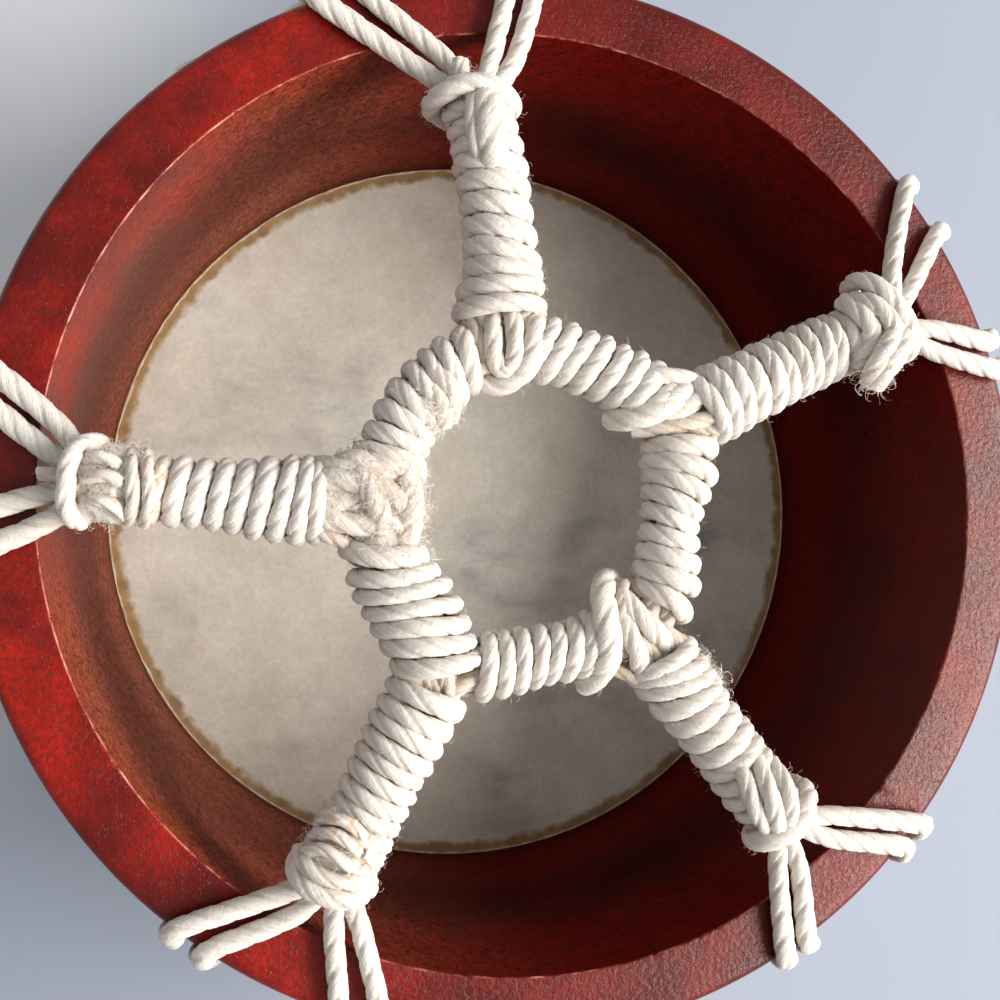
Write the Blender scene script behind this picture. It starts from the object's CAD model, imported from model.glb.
"""The looks of a small shaman drum lying on its head, open back up.

Every length in the tables is in millimetres and becomes metres through MM when a piece is made.
Along a leg or a side of the hand ring, a place is given as (s, t, h): s along its centre line,
t to the left of it seen from above, and h above it.
"""
import bisect
import math
import random
from functools import partial

import bmesh
import bpy
from mathutils import Matrix, Vector, noise


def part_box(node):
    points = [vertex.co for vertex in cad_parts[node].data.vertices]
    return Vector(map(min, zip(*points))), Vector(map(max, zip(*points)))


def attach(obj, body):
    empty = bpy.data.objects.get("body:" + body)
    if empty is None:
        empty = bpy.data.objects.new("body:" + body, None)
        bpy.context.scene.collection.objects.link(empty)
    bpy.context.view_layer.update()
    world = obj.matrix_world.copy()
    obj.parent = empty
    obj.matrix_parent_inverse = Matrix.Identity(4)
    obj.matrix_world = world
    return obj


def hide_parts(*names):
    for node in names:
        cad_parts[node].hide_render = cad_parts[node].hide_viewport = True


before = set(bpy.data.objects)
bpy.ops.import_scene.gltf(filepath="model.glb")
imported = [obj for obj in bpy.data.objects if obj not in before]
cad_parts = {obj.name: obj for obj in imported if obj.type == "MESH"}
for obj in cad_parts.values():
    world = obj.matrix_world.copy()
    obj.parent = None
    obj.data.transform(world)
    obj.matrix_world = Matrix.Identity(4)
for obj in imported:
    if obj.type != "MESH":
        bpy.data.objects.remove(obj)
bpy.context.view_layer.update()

MM = 0.001
GAP = 0.3

# Hoop and head, in the part's frame
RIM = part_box("hoop")[1].z / MM
HOOP_RADIUS = 100.0
BORE = HOOP_RADIUS - 12.0
OUTER_ARRIS = 2.2
INNER_ARRIS = 0.35
WORN_WIDTH = 0.34
BEARING_EDGE = 3.0
OVAL = 0.0099
OVAL_AXIS = math.radians(159.0)
OVAL_HEIGHT = 80.0
SKIN = 1.6
BOTTOM = SKIN + GAP
FLAP_HEIGHT = 52.0
FLARE_START = 26.0
FLARE_END = 37.0
HOLE_HEIGHT = 43.2
HOLE_RADIUS = 3.2

# Cord
CORD = 1.9
PRESSED = 0.8
LAY_LENGTH = 15.0
PLIES = 3
GROOVE_SHARPNESS = 14.0
EVEN = 0.13
CORD_HEIGHT = RIM + GAP + CORD
BEHIND_FLAP = HOOP_RADIUS + GAP + CORD
FLAP_INSIDE = BEHIND_FLAP + CORD + 2.0 * GAP
IN_FRONT_OF_FLAP = FLAP_INSIDE + SKIN + GAP + CORD
# A turn of the whipping: its points, the leg's width, and how far neighbours spread or squeeze it.
TURN_STEPS = 14
LEG_WIDTH = 12.0
CROWDED, NARROWEST, WIDEST = 1.08, 0.82, 1.5

# Lacing loops: the hole's angle in the flap, then for the strand behind the flap and the one in
# front of it the angle where it crosses the rim and its end at the knot.
LACING = [
    (19, 19.7, (80.8, 34.8), 16.2, (80.2, 30.4)),
    (55, 33.6, (75.6, 44), 40.1, (71, 47.4)),
    (91, 94.2, (-10.6, 82), 91, (-6.3, 81.4)),
    (127, 110.6, (-19.6, 80.4), 115, (-23.4, 77.6)),
    (163, 170.4, (-87, 8.2), 167.2, (-84.8, 12.2)),
    (199, 181.6, (-87.4, 0.4), 185.4, (-86.6, -4.2)),
    (235, 228.6, (-47.6, -68.2), 232.4, (-45.2, -71.8)),
    (271, 247, (-38.8, -74.8), 251.8, (-34.2, -75)),
    (307, 298.6, (45.2, -70.2), 301.6, (49.6, -70.4)),
    (343, 316.6, (56, -65), 319.9, (57, -60.8)),
]
KNOT_OF_LOOP = ["right", "right", "top", "top", "left", "left",
                "lower_left", "lower_left", "lower_right", "lower_right"]

# Centre lines from the knot to the ring: x, y and the outer radius of the whipping.
LEGS = {
    "top": [(-14.9, 79.9, 5.6), (-14.2, 76.4, 6.8), (-13.4, 71.2, 6.6), (-11.3, 62.5, 6.9), (-9.9, 53, 6.9),
        (-8.9, 44, 7.2), (-8.9, 38.4, 8.2), (-9.2, 34.8, 8.8)],
    "left": [(-86.4, 3, 5.6), (-83.6, 2.8, 6.6), (-78.4, 2.4, 6.2), (-72, 1.6, 6.2), (-61, 0.8, 6.4),
        (-52.5, 0, 7.2), (-45.5, -0.2, 8), (-41, -0.4, 7.6)],
    "lower_left": [(-41.9, -72, 5.6), (-40.3, -69, 6.8), (-37.7, -64.1, 6.6), (-35.6, -60.2, 6.6),
        (-32, -52.6, 6.8), (-28.9, -46.4, 7.2), (-25.4, -39.8, 7.6), (-23, -35.6, 7.8)],
    "lower_right": [(51, -66.8, 5.6), (48.8, -64.1, 6.6), (45, -59.6, 6.6), (41, -55.2, 6.8),
        (36.2, -48.8, 6.8), (31.4, -42.6, 6.8), (26.6, -36.6, 7.2), (21.6, -29.8, 7.6)],
    "right": [(77.8, 37.2, 5.6), (74.6, 36.3, 7), (69.6, 35, 7), (62, 32.2, 6.6), (53.5, 28.8, 6.8),
        (45, 24.8, 7), (37.4, 21, 7.4), (31.6, 18.1, 7.8)],
}

# The hand ring's five sides, clockwise: from the leg, to the leg, and the centre line with radius.
SIDES = {
    "a": ("top", "right", [(-9.5, 27.8, 6.2), (-4.5, 27.8, 6.4), (3, 26.9, 6.4), (11, 24, 6.4),
        (17.5, 20.9, 6.8), (22, 17.6, 6.4), (24.8, 14, 6)]),
    "b": ("right", "lower_right", [(22, 17.6, 6), (24.4, 13.2, 6.8), (25.6, 7.6, 7.6), (24.8, 1.8, 6.6),
        (23.4, -4.5, 5.8), (23, -12, 6.6), (21.9, -18.8, 6.6), (18.6, -22.9, 6)]),
    "c": ("lower_right", "lower_left", [(18.2, -22.9, 6.4), (12.4, -24.9, 6.8), (5.5, -27.2, 6),
        (-3, -28.6, 6), (-10.6, -30, 6.5), (-16.8, -30.4, 6.4)]),
    "d": ("lower_left", "left", [(-21.8, -26.4, 8.4), (-24.6, -20.4, 8.6), (-28.4, -14.6, 8),
        (-31, -8.6, 7.4), (-31.7, -2, 7.6)]),
    "e": ("left", "top", [(-31.7, -2, 8), (-30, 5.4, 7.2), (-27.2, 12.6, 6.2), (-23.3, 18.9, 6.4),
        (-18, 23.6, 6.4), (-13.4, 26.5, 6.2), (-9.5, 27.8, 6.2)]),
}

# Where each turn of the whipping crosses the left and the right edge of its leg or side.
LEG_TURNS = {
    "top": [(10.3, 8.9), (13.4, 12), (16.6, 15.2), (20.6, 18.4), (24.3, 22.2), (28.6, 26), (33, 30.2),
        (37.2, 34.2), (39.4, 38.6), (41.4, 43.4), (44.4, 47)],
    "left": [(12, 10.8), (15.6, 14.2), (18.6, 17), (21.9, 20.3), (25.5, 23.8), (28.8, 27.3), (32.5, 30.6),
        (36.4, 34), (40.2, 37.3), (42.8, 41), (44.6, 44.4)],
    "lower_left": [(11.3, 10), (13.8, 12.8), (16.6, 15.4), (19.3, 18.3), (22.4, 21.4), (25.7, 24.5),
        (28.6, 27.4), (31.6, 30.4), (34.5, 33.9), (37.4, 37.7), (40.6, 41.9)],
    "lower_right": [(10.9, 11.2), (13.8, 14.4), (17, 17.8), (20.5, 20.8), (24, 23.8), (27.6, 27.3),
        (31.4, 31), (35.6, 34.8), (40, 37.4), (44.4, 39.6), (47.4, 42.4), (48.4, 46.4)],
    "right": [(13.4, 12.4), (16.6, 15.6), (19.8, 18.6), (23.4, 21.4), (26.9, 24.2), (29.4, 27.4),
        (31.6, 31), (34.4, 34.2), (38.2, 36.9), (41.9, 40.6), (45.3, 44.2), (48.2, 48), (50.6, 52.2)],
}
SIDE_TURNS = {
    "a": [(9.8, 4.8), (12.8, 8.6), (16.4, 12.6), (19.2, 16.4), (22.6, 20.4), (25.8, 24), (29.4, 27.4),
        (33.6, 30.6)],
    "b": [(9.4, 6.8), (13.2, 10.6), (16.6, 14.3), (20, 17.7), (23.2, 21.1), (26.6, 24.7), (30.4, 28.2),
        (34.2, 31.8), (38, 35.6)],
    "c": [(13.7, 9.8), (16.8, 13.6), (20, 17), (22.8, 20.4), (25.8, 23.6), (28.8, 26.8), (32, 30)],
    "d": [(-0.6, -5), (3.6, -2), (8, 1.6), (11.4, 5), (14.2, 8.2), (17, 11.4), (21, 15.8)],
    "e": [(9.4, 10.2), (12.8, 13.2), (16.8, 15.6), (20.8, 18.6), (24.4, 21.8), (27.4, 24.8), (30.4, 27.8),
        (34.2, 31.2)],
}


def srgb(code):
    """Linear colour from a hex value."""
    channels = [int(code[i:i + 2], 16) / 255.0 for i in (1, 3, 5)]
    return tuple(c / 12.92 if c <= 0.04045 else ((c + 0.055) / 1.055) ** 2.4 for c in channels) + (1.0,)


def feed(tree, node, inputs):
    """Set a node's inputs, each from a value, a hex colour, a socket, or a node's first output in use."""
    for key, value in inputs.items():
        if isinstance(value, bpy.types.Node):
            value = next(socket for socket in value.outputs if socket.enabled)
        if isinstance(value, bpy.types.NodeSocket):
            tree.links.new(value, node.inputs[key])
        else:
            node.inputs[key].default_value = srgb(value) if str(value).startswith("#") else value


FAMILIES = ("ShaderNode", "GeometryNode", "FunctionNode", "")


def add(tree, kind, inputs=None, operation=None, **settings):
    """Add a node with its settings and links; its kind goes without the family, and Mix mixes colours."""
    node = tree.nodes.new(next(family + kind for family in FAMILIES if hasattr(bpy.types, family + kind)))
    if operation:
        node.operation = operation
    if kind == "Mix":
        node.data_type = "RGBA"
    for name, value in settings.items():
        setattr(node, name, value)
    feed(tree, node, inputs or {})
    return node


# ---------------------------------------------------------------- camera

VIEW_X, VIEW_Y, VIEW_Z = -50.44, -5.39, 270.7
KNOT_LEVEL = 9.0


def set_camera():
    """The viewpoint: above the open back, a little to its left."""
    pitch, yaw = math.radians(1.603), math.radians(-12.347)
    camera = bpy.data.objects.new("camera", bpy.data.cameras.new("camera"))
    bpy.context.scene.collection.objects.link(camera)
    camera.matrix_world = (Matrix.Translation(Vector((VIEW_X, VIEW_Y, VIEW_Z)) * MM)
                           @ Matrix.Rotation(yaw, 4, "Y") @ Matrix.Rotation(pitch, 4, "X"))
    camera.data.lens = 38.16
    camera.data.sensor_width = 36.0
    camera.data.clip_start = 0.01
    camera.data.clip_end = 20.0
    bpy.context.scene.camera = camera


# ---------------------------------------------------------------- centre lines and routes

def catmull(stations, position):
    """Smooth value between hand-set stations."""
    last = len(stations) - 1
    index = min(int(math.floor(position)), last - 1)
    share = position - index
    a, b, c, d = (Vector(stations[min(max(index + k, 0), last)]) for k in (-1, 0, 1, 2))
    return 0.5 * (2.0 * b + (c - a) * share + (2.0 * a - 5.0 * b + 4.0 * c - d) * share ** 2
                  + (3.0 * b - a - 3.0 * c + d) * share ** 3)


class CentreLine:
    """A leg's or a ring side's centre line, measured along its length."""

    def __init__(self, stations):
        spans = len(stations) - 1
        self.points = [catmull(stations, k / 12.0) for k in range(spans * 12 + 1)]
        self.run = [0.0]
        for one, two in zip(self.points, self.points[1:]):
            self.run.append(self.run[-1] + (two.xy - one.xy).length)
        self.length = self.run[-1]

    def at(self, s):
        """Point, unit direction and outer radius at a distance; straight on beyond the ends."""
        if not 0.0 < s < self.length:
            one, two, end, past = (0, 1, 0, s) if s <= 0.0 else (-2, -1, -1, s - self.length)
            along = (self.points[two].xy - self.points[one].xy).normalized()
            return self.points[end].xy + along * past, along, self.points[end].z
        low = bisect.bisect_right(self.run, s) - 1
        high = low + 1
        share = (s - self.run[low]) / (self.run[high] - self.run[low])
        point = self.points[low].lerp(self.points[high], share)
        before = self.points[max(low - 3, 0)].xy
        after = self.points[min(high + 3, len(self.points) - 1)].xy
        return point.xy, (after - before).normalized(), point.z

    def place(self, s, t, h):
        """World place in millimetres of (s, t, h)."""
        point, along, radius = self.at(s)
        left = Vector((-along.y, along.x))
        flat = point + left * t
        return Vector((flat.x, flat.y, CORD_HEIGHT + h))

    def outward(self, s, t, h):
        """Unit direction away from the centre line at (s, t, h)."""
        along = self.at(s)[1]
        return (Vector((-along.y, along.x, 0.0)) * t + Vector((0.0, 0.0, 1.0)) * h).normalized()

    def away(self, x, y, h):
        """Unit direction away from the centre line at a world place, h above it."""
        nearest = min(self.points, key=lambda point: (point.xy - Vector((x, y))).length)
        return Vector((x - nearest.x, y - nearest.y, h)).normalized()


def around(angle, radius, height):
    """A point at an angle in degrees round the slightly oval drum."""
    turn = math.radians(angle)
    stretch = 1.0 + OVAL * math.cos(2.0 * (turn - OVAL_AXIS)) * height / OVAL_HEIGHT
    return Vector((radius * stretch * math.cos(turn), radius * stretch * math.sin(turn), height))


class Strand:
    """The places that a cord follows, with how it is pressed and soiled at each."""

    def __init__(self):
        self.rows = []

    def go(self, place, out=(0.0, 0.0, 1.0), wide=1.0, high=1.0, soil=0.0, stain=0.0):
        self.rows.append((Vector(place), Vector(out), wide, high, soil, stain))


def whipping(line, turns, stain=lambda s: 0.0, seed=1):
    """A cord wound round a leg or a side, crossing its edges where the turns say."""
    draw = random.Random(seed)
    strand = Strand()
    lean_in = [draw.uniform(-0.25, 0.25) for _ in turns]
    for number, (left, right) in enumerate(turns):
        before = turns[number - 1] if number else (2 * left - turns[1][0], 2 * right - turns[1][1])
        after = (2 * left - before[0], 2 * right - before[1])
        if number + 1 < len(turns):
            after = turns[number + 1]
        spans = [(after[side] - before[side]) / 2.0 for side in (0, 1)]
        bump = draw.uniform(-0.12, 0.22)
        for step in range(TURN_STEPS):
            turn = 2.0 * math.pi * step / TURN_STEPS
            share = (1.0 - math.cos(turn)) / 2.0
            start = left if turn <= math.pi else after[0]
            s = start + (right - start) * share + lean_in[number] * math.sin(turn)
            span = spans[0] * (1.0 - share) + spans[1] * share
            slant = math.cos(math.atan2(left - right, LEG_WIDTH))
            wide = min(max(span * slant / (2.0 * CORD) * CROWDED, NARROWEST), WIDEST)
            high = min(max(0.94 / math.sqrt(wide), 0.74), 1.0)
            radius = line.at(s)[2] + bump - CORD * high
            t, h = radius * math.cos(turn), radius * math.sin(turn)
            strand.go(line.place(s, t, h), line.outward(s, t, h), wide, high, 0.0, stain(s))
    return strand


def bridging(points, wide, soil, stain, leg=None):
    """A strand through hand-set x, y places, with heights above the cords' own level."""
    strand = Strand()
    for x, y, h in points:
        out = leg.away(x, y, h) if leg else Vector((0.0, 0.0, 1.0))
        strand.go((x, y, CORD_HEIGHT + h), out, wide, 0.95, soil, stain)
    return strand


def down_the_view(points):
    """Places given at the level of the knots' tops, moved along the line of sight to their height."""
    moved = []
    for x, y, h in points:
        share = (VIEW_Z - CORD_HEIGHT - h - CORD) / (VIEW_Z - RIM - KNOT_LEVEL)
        moved.append((VIEW_X + (x - VIEW_X) * share, VIEW_Y + (y - VIEW_Y) * share, h))
    return moved


# ---------------------------------------------------------------- cord making

def new_tree(name, inputs):
    """An empty Geometry Nodes tree with named inputs, how to add to it, and what it is given."""
    tree = bpy.data.node_groups.new(name, "GeometryNodeTree")
    tree.is_modifier = True
    for key, kind in {"Geometry": "Geometry", **inputs, "Material": "Material"}.items():
        tree.interface.new_socket(key, in_out="INPUT", socket_type="NodeSocket" + kind)
    tree.interface.new_socket("Geometry", in_out="OUTPUT", socket_type="NodeSocketGeometry")
    return tree, partial(add, tree), add(tree, "NodeGroupInput").outputs


def end_tree(node, body, given):
    """Smooth and realize what a tree made, and give it its material."""
    body = node("SetShadeSmooth", {"Geometry": body})
    body = node("RealizeInstances", {"Geometry": body})
    body = node("SetMaterial", {"Geometry": body, "Material": given["Material"]})
    node("NodeGroupOutput", {"Geometry": body})


def cord_tree():
    """Three plies laid together along a path, pressed flat where the path says so."""
    tree, node, given = new_tree("Laid cord", {
        "Cord radius": "Float", "Lay length": "Float", "Groove depth": "Float", "Ring spacing": "Float",
        "Sides": "Int", "Unevenness": "Float"})

    # The path, turned so that the plies twist once in each lay length
    path = node("MeshToCurve", {"Mesh": given["Geometry"]})
    path = node("CurveSplineType", {"Curve": path}, spline_type="CATMULL_ROM")
    path = node("ResampleCurve", {"Curve": path, "Length": given["Ring spacing"]}, mode="LENGTH")
    walked = node("SplineParameter").outputs["Length"]
    turns = node("Math", {0: walked, 1: given["Lay length"]}, "DIVIDE")
    twist = node("Math", {0: turns, 1: 2.0 * math.pi}, "MULTIPLY")
    path = node("SetCurveTilt", {"Curve": path, "Tilt": twist})
    here = node("InputPosition")
    held = node("CaptureAttribute", {"Geometry": path}, domain="POINT")
    held.capture_items.new("VECTOR", "Spine")
    held.capture_items.new("FLOAT", "Along")
    feed(tree, held, {"Spine": here, "Along": walked})

    # The section: a round with a narrow groove between each two of its three plies
    circle = node("CurvePrimitiveCircle",
                  {"Resolution": given["Sides"], "Radius": given["Cord radius"]})
    rim = node("VectorMath", {0: here}, "NORMALIZE")
    parts = node("SeparateXYZ", {0: rim}).outputs
    angle = node("Math", {0: parts["Y"], 1: parts["X"]}, "ARCTAN2")
    lobes = node("Math", {0: angle, 1: PLIES / 2.0}, "MULTIPLY")
    lobes = node("Math", {0: lobes}, "SINE")
    lobes = node("Math", {0: lobes}, "ABSOLUTE")
    groove = node("Math", {0: lobes, 1: GROOVE_SHARPNESS}, "POWER")
    shape = node("CaptureAttribute", {"Geometry": circle}, domain="POINT")
    shape.capture_items.new("VECTOR", "Around")
    shape.capture_items.new("FLOAT", "Groove")
    feed(tree, shape, {"Around": rim, "Groove": groove})
    sunk = node("Math", {0: shape.outputs["Groove"], 1: given["Groove depth"]}, "MULTIPLY")
    kept = node("Math", {0: 1.0, 1: sunk}, "SUBTRACT")
    inset = node("VectorMath", {0: here, "Scale": kept}, "SCALE")
    profile = node("SetPosition", {"Geometry": shape, "Position": inset})
    body = node("CurveToMesh", {"Curve": held, "Profile Curve": profile, "Fill Caps": True})

    # Pressed along the outward direction and spread across it
    out, wide, high = (node("InputNamedAttribute", {"Name": name}, data_type=kind)
                       for name, kind in (("out", "FLOAT_VECTOR"), ("wide", "FLOAT"), ("high", "FLOAT")))
    away = node("VectorMath", {0: out}, "NORMALIZE")
    offset = node("VectorMath", {0: here, 1: held.outputs["Spine"]}, "SUBTRACT")
    rise = node("VectorMath", {0: offset, 1: away}, "DOT_PRODUCT")
    upward = node("VectorMath", {0: away, "Scale": rise}, "SCALE")
    sideways = node("VectorMath", {0: offset, 1: upward}, "SUBTRACT")
    pressed = node("VectorMath", {0: upward, "Scale": high}, "SCALE")
    spread = node("VectorMath", {0: sideways, "Scale": wide}, "SCALE")
    shaped = node("VectorMath", {0: pressed, 1: spread}, "ADD")
    facing = node("Math", {0: rise, 1: given["Cord radius"]}, "DIVIDE")

    # Lumps 3 mm across
    lumps = node("TexNoise", {"Vector": here, "Scale": 300.0, "Detail": 4.0, "Roughness": 0.55})
    lumps = node("Math", {0: lumps, 1: 0.5}, "SUBTRACT")
    lumps = node("Math", {0: lumps, 1: given["Unevenness"], 2: 1.0}, "MULTIPLY_ADD")
    shaped = node("VectorMath", {0: shaped, "Scale": lumps}, "SCALE")
    moved = node("VectorMath", {0: held.outputs["Spine"], 1: shaped}, "ADD")
    split = node("SeparateXYZ", {0: shape.outputs["Around"]}).outputs
    lay = node("CombineXYZ", {"X": split["X"], "Y": split["Y"], "Z": held.outputs["Along"]})
    for name, value, kind in (("facing", facing, "FLOAT"), ("lay", lay, "FLOAT_VECTOR"),
                              ("groove", shape.outputs["Groove"], "FLOAT")):
        body = node("StoreNamedAttribute", {"Geometry": body, "Name": name, "Value": value},
                    data_type=kind, domain="POINT")
    body = node("SetPosition", {"Geometry": body, "Position": moved})
    end_tree(node, body, given)
    return tree


def fibre_tree():
    """Loose cotton fibres standing off a cord's surface."""
    tree, node, given = new_tree("Loose fibres", {
        "Fibres per square metre": "Float", "Fibre length": "Float", "Fibre radius": "Float", "Seed": "Int"})
    fuzz = node("InputNamedAttribute", {"Name": "fuzz"}, data_type="FLOAT")
    density = node("Math", {0: given["Fibres per square metre"], 1: fuzz}, "MULTIPLY")
    roots = node("DistributePointsOnFaces",
                 {"Mesh": given["Geometry"], "Density": density, "Seed": given["Seed"]})

    # One curled fibre of unit length with three sides
    fibre = node("CurveQuadraticBezier", {
        "Resolution": 4, "Start": (0.0, 0.0, -0.1), "Middle": (0.1, 0.6, 0.9), "End": (0.8, -0.1, 0.6)})
    thickness = node("Math", {0: given["Fibre radius"], 1: given["Fibre length"]}, "DIVIDE")
    section = node("CurvePrimitiveCircle", {"Resolution": 3, "Radius": thickness})
    fibre = node("CurveToMesh", {"Curve": fibre, "Profile Curve": section})

    lean, size = (node("RandomValue", {0: low, 1: high, "Seed": given["Seed"]},
                       data_type="FLOAT_VECTOR")
                  for low, high in (((-0.9, -0.9, -3.14), (0.9, 0.9, 3.14)),
                                    ((-1.3, -1.3, 0.3), (1.3, 1.3, 1.3))))
    spin = node("EulerToRotation", {"Euler": lean})
    turned = node("RotateRotation", {"Rotation": roots.outputs["Rotation"], "Rotate By": spin},
                  rotation_space="LOCAL")
    size = node("VectorMath", {0: size, "Scale": given["Fibre length"]}, "SCALE")
    sown = node("InstanceOnPoints",
                {"Points": roots, "Instance": fibre, "Rotation": turned, "Scale": size})
    end_tree(node, sown, given)
    return tree


def grown(name, mesh, tree, values):
    """Run a tree on a mesh and keep the result as a plain piece that rides on the drum."""
    source = bpy.data.objects.new(name + "_path", mesh)
    bpy.context.scene.collection.objects.link(source)
    growth = source.modifiers.new("Growth", "NODES")
    growth.node_group = tree
    sockets = {item.name: item.identifier for item in tree.interface.items_tree
               if item.item_type == "SOCKET" and item.in_out == "INPUT"}
    for key, value in values.items():
        growth[sockets[key]] = value
    bpy.context.view_layer.update()
    made = bpy.data.meshes.new_from_object(source.evaluated_get(bpy.context.evaluated_depsgraph_get()))
    bpy.data.objects.remove(source, do_unlink=True)
    made.name = name
    piece = bpy.data.objects.new(name, made)
    bpy.context.scene.collection.objects.link(piece)
    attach(piece, "root")
    return piece


def path_mesh(name, strands):
    """Strands as chains of edges with their pressing and soiling."""
    mesh = bpy.data.meshes.new(name + "_path")
    points, edges = [], []
    for strand in strands:
        first = len(points)
        points += [row[0] * MM for row in strand.rows]
        edges += [(first + k, first + k + 1) for k in range(len(strand.rows) - 1)]
    mesh.from_pydata(points, edges, [])
    rows = [row for strand in strands for row in strand.rows]
    out = mesh.attributes.new("out", "FLOAT_VECTOR", "POINT")
    out.data.foreach_set("vector", [c for row in rows for c in row[1]])
    for column, key in ((2, "wide"), (3, "high"), (4, "soil"), (5, "stain")):
        layer = mesh.attributes.new(key, "FLOAT", "POINT")
        layer.data.foreach_set("value", [row[column] for row in rows])
    return mesh


def make_cord(name, strands, uneven, replaced=(), radius=CORD, groove=0.17, spacing=0.95, sides=24):
    """A piece of laid cord; with a faint groove and a large radius it is a felted lump."""
    piece = grown(name, path_mesh(name, strands), LAID_CORD, {
        "Cord radius": radius * MM, "Lay length": LAY_LENGTH * MM, "Groove depth": groove,
        "Ring spacing": spacing * MM, "Sides": sides, "Unevenness": uneven, "Material": COTTON_CORD})
    for node in replaced:
        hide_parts(node)
    return piece


def make_fuzz(name, source, density, length, thickness, seed, amount):
    """Loose fibres on a cord piece; amount(place) in millimetres says how densely they stand."""
    mesh = source.data.copy()
    layer = mesh.attributes.new("fuzz", "FLOAT", "POINT")
    layer.data.foreach_set("value", [amount(v.co / MM) for v in mesh.vertices])
    grown(name, mesh, FIBRES, {
        "Fibres per square metre": density, "Fibre length": length * MM, "Fibre radius": thickness * MM,
        "Seed": seed, "Material": FIBRE_COTTON})


# ---------------------------------------------------------------- materials

def new_material(name):
    """A new material, how to add to it and feed its shader, and its object coordinates."""
    material = bpy.data.materials.new(name)
    material.use_nodes = True
    tree = material.node_tree
    place = add(tree, "TexCoord").outputs["Object"]
    return material, partial(add, tree), partial(feed, tree, tree.nodes["Principled BSDF"]), place


def patterns(node, rows):
    """Noises by name: coordinates, scale per metre, detail, and the values that become 0 and 1."""
    made = {}
    for name, place, scale, detail, low, high in rows:
        grain = node("TexNoise", {"Vector": place, "Scale": scale, "Detail": detail, "Roughness": 0.6})
        made[name] = node("MapRange", {0: grain, 1: low, 2: high})
    return made


def bleached_cotton_cord():
    """Bleached cotton, three soft plies: matt, warm white, beige where it is worn in and handled."""
    material, node, shade, place = new_material("bleached_cotton_cord")
    lay, groove, soil, stain, facing = (node("Attribute", attribute_name=name).outputs
                                        for name in ("lay", "groove", "soil", "stain", "facing"))
    # Yarns run with the ply, 0.5 mm across and several millimetres long.
    stretched = node("VectorMath", {0: lay["Vector"], 1: (1.0, 1.0, 60.0)}, "MULTIPLY")
    yarn = node("TexNoise", {"Vector": stretched, "Scale": 4.2, "Detail": 5.0, "Roughness": 0.65})
    cloud = node("TexNoise", {"Vector": place, "Scale": 95.0, "Detail": 3.0})
    cloudy = node("MapRange", {0: cloud, 1: 0.40, 2: 0.78, 4: 0.28})
    # The flanks between neighbouring turns keep the dust, and so do the grooves between plies.
    flank = node("MapRange", {0: facing["Fac"], 1: 0.60, 2: -0.25, 4: 0.26})
    depth = node("Math", {0: groove["Fac"], 1: 0.34, 2: flank}, "MULTIPLY_ADD")
    worn = node("Math", {0: depth, 1: cloudy}, "ADD")
    worn = node("Math", {0: worn, 1: soil["Fac"]}, "ADD", use_clamp=True)
    colour = node("Mix", {0: worn, 6: "#e3dfda", 7: "#cec1b3"})
    streak = node("MapRange", {0: yarn, 1: 0.36, 2: 0.60, 3: 0.90, 4: 1.03})
    colour = node("Mix", {0: 1.0, 6: colour, 7: streak}, blend_type="MULTIPLY")
    # Handling left freckles about 1.5 mm across in the stained stretches.
    spots = node("TexNoise", {"Vector": place, "Scale": 620.0, "Detail": 3.0})
    spots = node("MapRange", {0: spots, 1: 0.50, 2: 0.66})
    spotted = node("Math", {0: spots, 1: stain["Fac"]}, "MULTIPLY", use_clamp=True)
    colour = node("Mix", {0: spotted, 6: colour, 7: "#d3ad8a"})
    # Fibres crinkle over 1 mm where the cord is bent and pressed.
    crinkle = node("TexNoise", {"Vector": place, "Scale": 850.0, "Detail": 3.0, "Distortion": 0.6})
    relief = node("Math", {0: crinkle, 1: 0.75, 2: yarn}, "MULTIPLY_ADD")
    bump = node("Bump", {"Strength": 0.85, "Distance": 0.0004, "Height": relief})
    shade({"Base Color": colour, "Normal": bump, "Roughness": 0.86, "IOR": 1.5, "Specular IOR Level": 0.25,
           "Sheen Weight": 0.15, "Sheen Roughness": 0.4, "Subsurface Weight": 0.30,
           "Subsurface Radius": (1.0, 0.78, 0.62), "Subsurface Scale": 0.0009})
    return material


def loose_cotton_fibre():
    """Single cotton fibres, bundled so that they show: pale, soft and slightly see-through."""
    material, node, shade, place = new_material("loose_cotton_fibre")
    tone = node("TexNoise", {"Vector": place, "Scale": 150.0})
    colour = node("Mix", {0: tone, 6: "#fbf8f2", 7: "#e9dfd2"})
    shade({"Base Color": colour, "Roughness": 0.7, "Specular IOR Level": 0.2})
    return material


def from_the_axis(node, place):
    """The coordinates apart, and the distance from the drum's axis."""
    axes = node("SeparateXYZ", {0: place}).outputs
    flat = node("CombineXYZ", {"X": axes["X"], "Y": axes["Y"], "Z": 0.0})
    return axes, node("VectorMath", {0: flat}, "LENGTH")


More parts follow.
